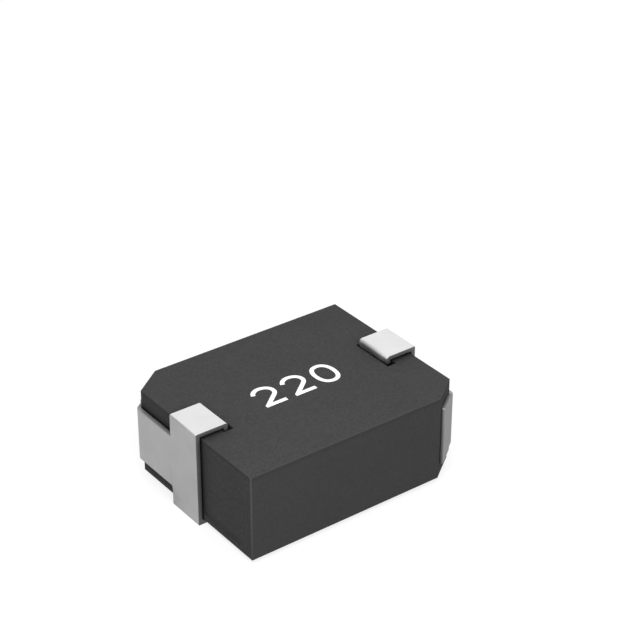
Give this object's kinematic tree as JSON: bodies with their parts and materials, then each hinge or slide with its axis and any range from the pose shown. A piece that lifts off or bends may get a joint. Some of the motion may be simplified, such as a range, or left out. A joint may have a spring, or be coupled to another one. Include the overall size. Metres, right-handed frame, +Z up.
{
  "type": "shielded smd inductor",
  "caption": "Surface-mount power inductor: a moulded magnetic block with chamfered corners, a flat-wire coil inside and folded sheet terminals round its ends.",
  "frame": {"origin": "on the board, under the middle of the body", "axes": "+X along the length, from one terminal to the other; +Y across the body; +Z up, away from the board"},
  "size_m": [0.0106, 0.0082, 0.0041],
  "materials": {
    "composite": "fine-grained moulded iron-powder composite, matte",
    "enamelled_copper": "enamelled copper wire, gloss",
    "tin_plate": "matte tin plate on copper sheet",
    "marking_ink": "white pad-printed ink, matte"
  },
  "bodies": {
    "root": {"core_body": "composite", "coil_winding": "enamelled_copper", "left_terminal": "tin_plate", "right_terminal": "tin_plate"}
  },
  "joints": []
}
